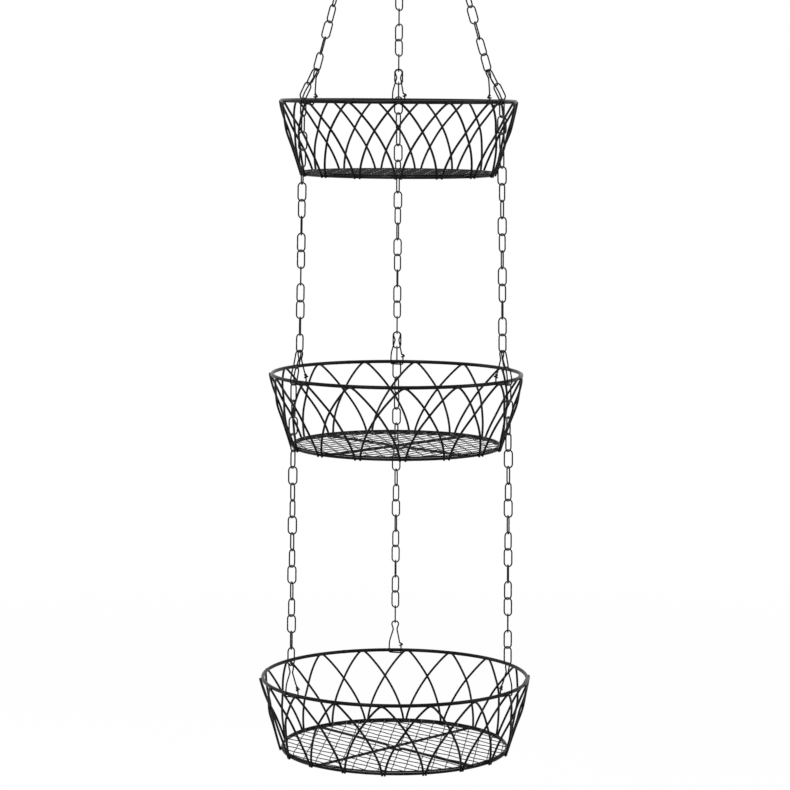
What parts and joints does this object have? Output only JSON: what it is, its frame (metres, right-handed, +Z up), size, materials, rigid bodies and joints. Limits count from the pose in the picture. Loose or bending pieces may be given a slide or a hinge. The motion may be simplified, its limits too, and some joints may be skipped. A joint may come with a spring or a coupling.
{
  "type": "hanging tiered wire basket",
  "caption": "Hanging storage basket with round wire tiers that grow towards the bottom, carried by chains on an S-hook.",
  "frame": {"origin": "the spot inside the top of the S-hook's upper bend that rests on what carries it", "axes": "+Z up, -Y the baskets' front, +X to the right seen from the front"},
  "size_m": [0.3034, 0.3047, 1.1644],
  "materials": {
    "basket_wire": "satin",
    "chain_wire": "satin"
  },
  "bodies": {
    "hook": {"top_hook": "chain_wire"},
    "ring": {"top_ring": "chain_wire"},
    "upper_tier": {"upper_chain_left": "chain_wire", "upper_chain_right": "chain_wire", "upper_chain_back": "chain_wire", "upper_rim": "basket_wire", "upper_base_ring": "basket_wire", "upper_side_arches": "basket_wire", "upper_floor_supports": "basket_wire", "upper_floor_edge_ring": "basket_wire", "upper_floor_mesh_lengthwise": "basket_wire", "upper_floor_mesh_crosswise": "basket_wire", "upper_clip_left": "basket_wire", "upper_clip_right": "basket_wire", "upper_clip_back": "basket_wire", "middle_lead_links_left": "chain_wire", "middle_lead_links_right": "chain_wire", "middle_lead_links_back": "chain_wire"},
    "middle_first_left": {"middle_first_link_left": "chain_wire"},
    "middle_strand_left": {"middle_chain_left": "chain_wire"},
    "middle_last_left": {"middle_junction_link_left": "chain_wire"},
    "middle_first_right": {"middle_first_link_right": "chain_wire"},
    "middle_strand_right": {"middle_chain_right": "chain_wire"},
    "middle_last_right": {"middle_junction_link_right": "chain_wire"},
    "middle_first_back": {"middle_first_link_back": "chain_wire"},
    "middle_strand_back": {"middle_chain_back": "chain_wire"},
    "middle_last_back": {"middle_junction_link_back": "chain_wire"},
    "middle_tier": {"middle_rim": "basket_wire", "middle_base_ring": "basket_wire", "middle_side_arches": "basket_wire", "middle_floor_supports": "basket_wire", "middle_floor_edge_ring": "basket_wire", "middle_floor_mesh_lengthwise": "basket_wire", "middle_floor_mesh_crosswise": "basket_wire", "middle_clip_left": "basket_wire", "middle_clip_right": "basket_wire", "middle_clip_back": "basket_wire", "lower_lead_links_left": "chain_wire", "lower_lead_links_right": "chain_wire", "lower_lead_links_back": "chain_wire"},
    "lower_first_left": {"lower_first_link_left": "chain_wire"},
    "lower_strand_left": {"lower_chain_left": "chain_wire"},
    "lower_last_left": {"lower_junction_link_left": "chain_wire"},
    "lower_first_right": {"lower_first_link_right": "chain_wire"},
    "lower_strand_right": {"lower_chain_right": "chain_wire"},
    "lower_last_right": {"lower_junction_link_right": "chain_wire"},
    "lower_first_back": {"lower_first_link_back": "chain_wire"},
    "lower_strand_back": {"lower_chain_back": "chain_wire"},
    "lower_last_back": {"lower_junction_link_back": "chain_wire"},
    "lower_tier": {"lower_rim": "basket_wire", "lower_base_ring": "basket_wire", "lower_side_arches": "basket_wire", "lower_floor_supports": "basket_wire", "lower_floor_edge_ring": "basket_wire", "lower_floor_mesh_lengthwise": "basket_wire", "lower_floor_mesh_crosswise": "basket_wire", "lower_clip_left": "basket_wire", "lower_clip_right": "basket_wire", "lower_clip_back": "basket_wire"}
  },
  "joints": [
    {"name": "ring_swing", "type": "hinge", "parent": "hook", "child": "ring", "pos_m": [0, 0, -0.05493], "axis": [1, 0, 0], "range_deg": [-12, 12]},
    {"name": "upper_swing", "type": "hinge", "parent": "ring", "child": "upper_tier", "pos_m": [0, 0, -0.06685], "axis": [0, 1, 0], "range_deg": [-12, 12]},
    {"name": "middle_nod_left", "type": "hinge", "parent": "upper_tier", "child": "middle_first_left", "pos_m": [-0.1016, -0.08768, -0.44954], "axis": [1, 0, 0], "range_deg": [-7, 7]},
    {"name": "middle_sway_left", "type": "hinge", "parent": "middle_first_left", "child": "middle_strand_left", "pos_m": [-0.10182, -0.08787, -0.46754], "axis": [0, 1, 0], "range_deg": [-7, 7]},
    {"name": "middle_level_left", "type": "hinge", "parent": "middle_strand_left", "child": "middle_last_left", "pos_m": [-0.10438, -0.09008, -0.68351], "axis": [0, 1, 0], "range_deg": [-7, 7]},
    {"name": "middle_nod_right", "type": "hinge", "parent": "upper_tier", "child": "middle_first_right", "pos_m": [0.11048, -0.07677, -0.44954], "axis": [1, 0, 0], "range_deg": [-7, 7]},
    {"name": "middle_sway_right", "type": "hinge", "parent": "middle_first_right", "child": "middle_strand_right", "pos_m": [0.11071, -0.07693, -0.46754], "axis": [0, 1, 0], "range_deg": [-7, 7]},
    {"name": "middle_level_right", "type": "hinge", "parent": "middle_strand_right", "child": "middle_last_right", "pos_m": [0.1135, -0.07887, -0.68351], "axis": [0, 1, 0], "range_deg": [-7, 7]},
    {"name": "middle_nod_back", "type": "hinge", "parent": "upper_tier", "child": "middle_first_back", "pos_m": [0, 0.13306, -0.44953], "axis": [1, 0, 0], "range_deg": [-7, 7]},
    {"name": "middle_sway_back", "type": "hinge", "parent": "middle_first_back", "child": "middle_strand_back", "pos_m": [0, 0.13334, -0.46753], "axis": [0, 1, 0], "range_deg": [-7, 7]},
    {"name": "middle_level_back", "type": "hinge", "parent": "middle_strand_back", "child": "middle_last_back", "pos_m": [0, 0.13673, -0.6835], "axis": [0, 1, 0], "range_deg": [-7, 7]},
    {"name": "middle_balance", "type": "hinge", "parent": "middle_last_back", "child": "middle_tier", "pos_m": [0, 0.13702, -0.7015], "axis": [1, 0, 0], "range_deg": [-7, 7]},
    {"name": "lower_nod_left", "type": "hinge", "parent": "middle_tier", "child": "lower_first_left", "pos_m": [-0.11094, -0.09576, -0.75451], "axis": [1, 0, 0], "range_deg": [-7, 7]},
    {"name": "lower_sway_left", "type": "hinge", "parent": "lower_first_left", "child": "lower_strand_left", "pos_m": [-0.11106, -0.09587, -0.77251], "axis": [0, 1, 0], "range_deg": [-7, 7]},
    {"name": "lower_level_left", "type": "hinge", "parent": "lower_strand_left", "child": "lower_last_left", "pos_m": [-0.11273, -0.0973, -1.0245], "axis": [0, 1, 0], "range_deg": [-7, 7]},
    {"name": "lower_nod_right", "type": "hinge", "parent": "middle_tier", "child": "lower_first_right", "pos_m": [0.12062, -0.08383, -0.75451], "axis": [1, 0, 0], "range_deg": [-7, 7]},
    {"name": "lower_sway_right", "type": "hinge", "parent": "lower_first_right", "child": "lower_strand_right", "pos_m": [0.12075, -0.08392, -0.77251], "axis": [0, 1, 0], "range_deg": [-7, 7]},
    {"name": "lower_level_right", "type": "hinge", "parent": "lower_strand_right", "child": "lower_last_right", "pos_m": [0.12255, -0.08518, -1.0245], "axis": [0, 1, 0], "range_deg": [-7, 7]},
    {"name": "lower_nod_back", "type": "hinge", "parent": "middle_tier", "child": "lower_first_back", "pos_m": [0, 0.14541, -0.75451], "axis": [1, 0, 0], "range_deg": [-7, 7]},
    {"name": "lower_sway_back", "type": "hinge", "parent": "lower_first_back", "child": "lower_strand_back", "pos_m": [0, 0.14557, -0.77251], "axis": [0, 1, 0], "range_deg": [-7, 7]},
    {"name": "lower_level_back", "type": "hinge", "parent": "lower_strand_back", "child": "lower_last_back", "pos_m": [0, 0.14776, -1.0245], "axis": [0, 1, 0], "range_deg": [-7, 7]},
    {"name": "lower_balance", "type": "hinge", "parent": "lower_last_back", "child": "lower_tier", "pos_m": [0, 0.14792, -1.0425], "axis": [1, 0, 0], "range_deg": [-7, 7]}
  ],
  "couplings": [
    {"joint": "middle_level_left", "follows": "middle_sway_back", "ratio": -0.9754},
    {"joint": "middle_nod_left", "follows": "middle_nod_back", "ratio": 1},
    {"joint": "middle_sway_left", "follows": "middle_sway_back", "ratio": 1},
    {"joint": "middle_level_right", "follows": "middle_sway_back", "ratio": -0.9754},
    {"joint": "middle_nod_right", "follows": "middle_nod_back", "ratio": 1},
    {"joint": "middle_sway_right", "follows": "middle_sway_back", "ratio": 1},
    {"joint": "middle_level_back", "follows": "middle_sway_back", "ratio": -0.9754},
    {"joint": "middle_balance", "follows": "middle_nod_back", "ratio": -0.9712},
    {"joint": "lower_level_left", "follows": "lower_sway_back", "ratio": -0.9852},
    {"joint": "lower_nod_left", "follows": "lower_nod_back", "ratio": 1},
    {"joint": "lower_sway_left", "follows": "lower_sway_back", "ratio": 1},
    {"joint": "lower_level_right", "follows": "lower_sway_back", "ratio": -0.9852},
    {"joint": "lower_nod_right", "follows": "lower_nod_back", "ratio": 1},
    {"joint": "lower_sway_right", "follows": "lower_sway_back", "ratio": 1},
    {"joint": "lower_level_back", "follows": "lower_sway_back", "ratio": -0.9852},
    {"joint": "lower_balance", "follows": "lower_nod_back", "ratio": -0.9831}
  ]
}
